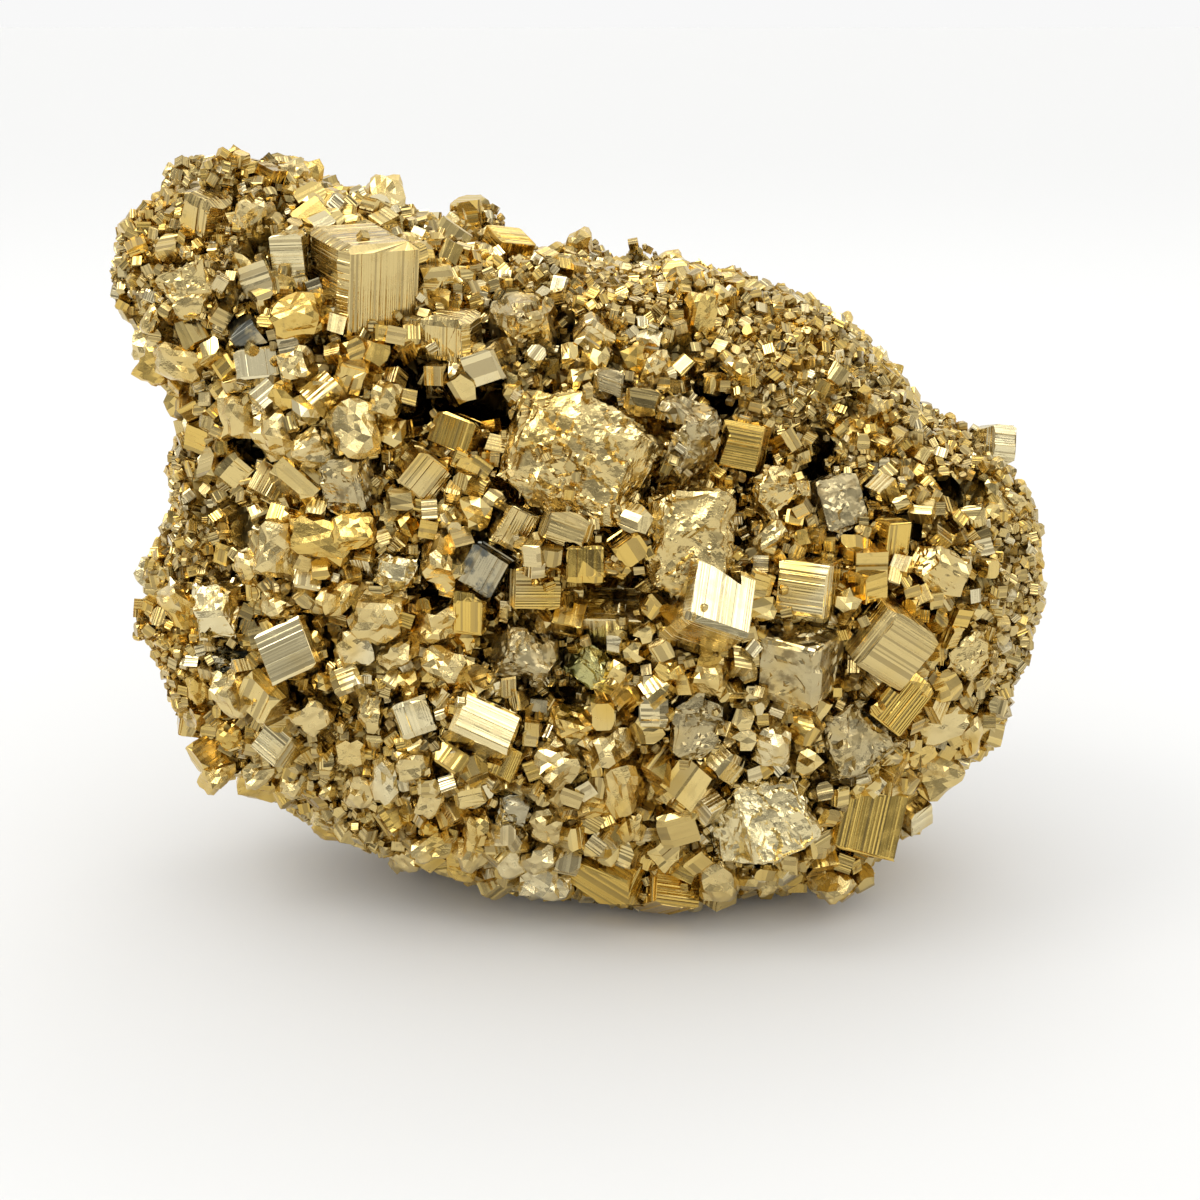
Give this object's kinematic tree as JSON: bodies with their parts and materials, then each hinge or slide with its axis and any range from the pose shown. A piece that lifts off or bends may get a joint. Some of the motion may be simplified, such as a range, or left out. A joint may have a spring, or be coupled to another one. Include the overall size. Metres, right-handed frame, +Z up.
{
  "type": "pyrite specimen",
  "caption": "Free-standing druse of intergrown brassy pyrite: large striated cubes and rough lumps seated in a mass of finer crystals, with a small flat broken base.",
  "frame": {"origin": "middle of the bounding box's underside, in the plane that the broken base rests on", "axes": "+Z up; -Y towards the crystal-covered druse side; +X along the longest side"},
  "size_m": [0.1154, 0.0654, 0.092],
  "materials": {
    "pyrite_brass": "brassy metallic lustre, striated and etched",
    "pyrite_pale": "bright pale brass, mirror-like faces",
    "pyrite_golden": "deep golden lustre, striated",
    "pyrite_tarnished": "dull grey-green to blue-black tarnish, etched"
  },
  "bodies": {
    "root": {"crystal_mass": "pyrite_brass", "giant_rough_cube": "pyrite_brass", "etched_plate": "pyrite_brass", "silver_lump": "pyrite_tarnished", "white_faced_corner": "pyrite_pale", "striated_gold_cube": "pyrite_golden", "grey_column": "pyrite_tarnished", "striated_pocket_block": "pyrite_pale", "pocket_cube": "pyrite_golden", "gable_crystal": "pyrite_brass", "banded_cube": "pyrite_brass", "dark_faced_cube": "pyrite_tarnished", "banded_column": "pyrite_golden", "leaning_cube": "pyrite_brass", "cleft_lump": "pyrite_tarnished", "green_lump": "pyrite_tarnished", "upper_left_cube": "pyrite_brass", "upper_rough_lump": "pyrite_tarnished", "fluted_cube": "pyrite_brass", "crest_cube": "pyrite_golden", "arm_step_cube": "pyrite_pale", "arm_plate_lump": "pyrite_brass", "arm_tip_cube": "pyrite_brass", "slanted_cube": "pyrite_pale", "slate_cube": "pyrite_tarnished", "amber_cube": "pyrite_golden", "ledge_cube": "pyrite_brass", "left_middle_block": "pyrite_tarnished", "left_tall_cube": "pyrite_brass", "bright_square_cube": "pyrite_pale", "left_pale_lump": "pyrite_pale", "blue_black_slab": "pyrite_tarnished", "white_chip_lump": "pyrite_pale", "bright_prism": "pyrite_pale", "pale_tile_cube": "pyrite_pale", "rough_column": "pyrite_brass", "lower_left_cube": "pyrite_pale", "honey_cube": "pyrite_golden", "blue_faced_cube": "pyrite_tarnished", "right_shoulder_lump": "pyrite_brass", "capped_lump": "pyrite_tarnished", "striated_pale_cube": "pyrite_pale", "grey_rough_cube": "pyrite_tarnished", "striated_right_cube": "pyrite_brass", "pyramid_crystal": "pyrite_brass", "twin_column": "pyrite_golden", "golden_blade": "pyrite_golden", "right_edge_lump": "pyrite_brass", "rim_corner_cube": "pyrite_pale", "base_boulder": "pyrite_pale", "lower_right_lump": "pyrite_tarnished", "lower_corner_block": "pyrite_golden", "hanging_lump": "pyrite_tarnished", "foot_pyramid": "pyrite_golden", "foot_cube": "pyrite_golden", "back_upper_cube": "pyrite_brass", "back_left_cube": "pyrite_golden", "back_right_cube": "pyrite_brass", "back_lower_cube": "pyrite_brass"}
  },
  "joints": []
}
